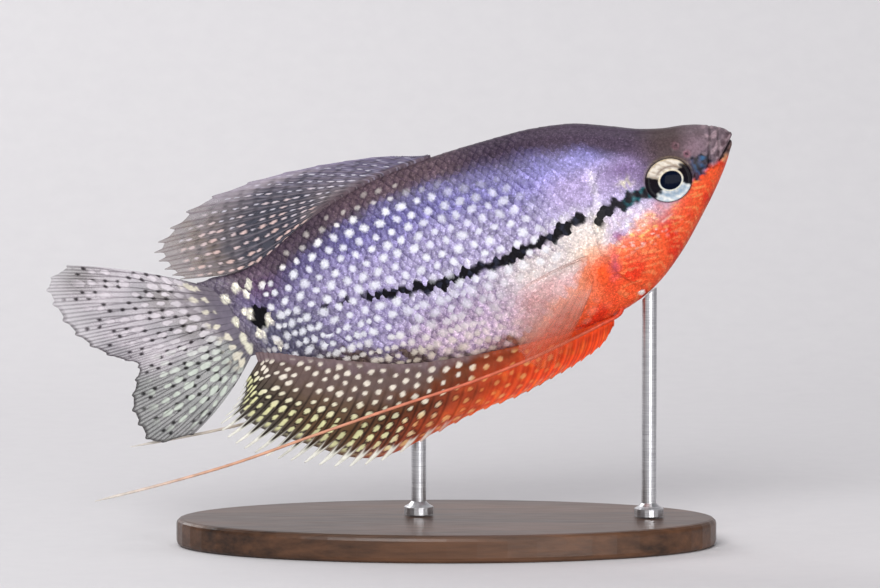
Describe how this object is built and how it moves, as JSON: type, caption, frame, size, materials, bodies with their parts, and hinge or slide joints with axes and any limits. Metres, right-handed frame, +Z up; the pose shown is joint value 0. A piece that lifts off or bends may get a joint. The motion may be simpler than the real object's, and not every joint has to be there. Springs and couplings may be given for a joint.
{
  "type": "pearl gourami display model",
  "caption": "Life-size still model of a male pearl gourami, pitched nose up, fins spread and thread fins trailing, held by slim rods over a plain oval wooden base.",
  "frame": {"origin": "centre of the base's underside, on the shelf", "axes": "+X towards the fish's snout, +Y to the fish's left, +Z up"},
  "size_m": [0.1122, 0.046, 0.069],
  "materials": {
    "back": "painted cast resin, brownish purple grey head and back with a moist satin coat",
    "flank": "painted cast resin, pearly violet blue with cream spots and a black side band",
    "breast": "painted cast resin, red orange throat and gill covers with golden flecks",
    "fin": "thin translucent cast resin with rays, spotted grey, brown and orange",
    "thread": "thin cast resin thread, orange red at the root and whitish at the tip",
    "eye": "polished resin eye, gold and silver iris with a black pupil",
    "walnut": "dark walnut with a satin lacquer",
    "steel": "fine brushed steel rod"
  },
  "bodies": {
    "root": {"head": "back", "lower_jaw": "breast", "gill_cover_left": "breast", "gill_cover_right": "breast", "eye_left": "eye", "eye_right": "eye", "trunk": "flank", "tail_stem": "flank", "dorsal_fin": "fin", "anal_fin": "fin", "caudal_fin": "fin", "pectoral_fin_left": "fin", "pectoral_fin_right": "fin", "pelvic_fin_left": "thread", "pelvic_fin_right": "thread", "stand_base": "walnut", "stand_rod_front": "steel", "stand_rod_rear": "steel"}
  },
  "joints": []
}
